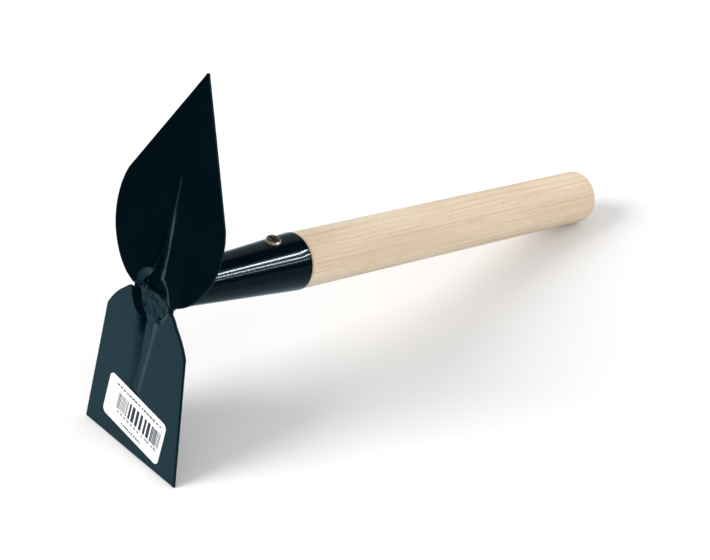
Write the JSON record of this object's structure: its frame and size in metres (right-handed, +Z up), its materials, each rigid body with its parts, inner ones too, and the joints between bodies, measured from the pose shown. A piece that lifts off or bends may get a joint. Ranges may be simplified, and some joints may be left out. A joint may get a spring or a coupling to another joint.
{
  "type": "hand hoe",
  "caption": "Double-headed hand hoe: a square hoe blade and a heart-shaped blade on a conical steel socket with a short round beech handle.",
  "frame": {"origin": "on the floor that the tool rests on, under the middle of its box: it rests on the hoe's cutting edge and on the far end of the handle", "axes": "+X from the blades towards the handle's butt, +Y across the blades, +Z up towards the heart blade's tip"},
  "size_m": [0.3306, 0.0822, 0.1952],
  "materials": {
    "blade_paint": "glossy black-green paint over pressed steel sheet",
    "weld_paint": "the same paint, over rough welds",
    "socket_paint": "glossy black paint over rolled steel sheet",
    "beech": "turned and sanded, unvarnished",
    "yellow_zinc": "yellow zinc plate",
    "label_paper": null
  },
  "bodies": {
    "root": {"hoe_blade": "blade_paint", "heart_blade": "blade_paint", "seam_weld": "weld_paint", "socket_weld": "weld_paint", "socket": "socket_paint", "handle": "beech", "fixing_screw": "yellow_zinc", "label": "label_paper"}
  },
  "joints": []
}
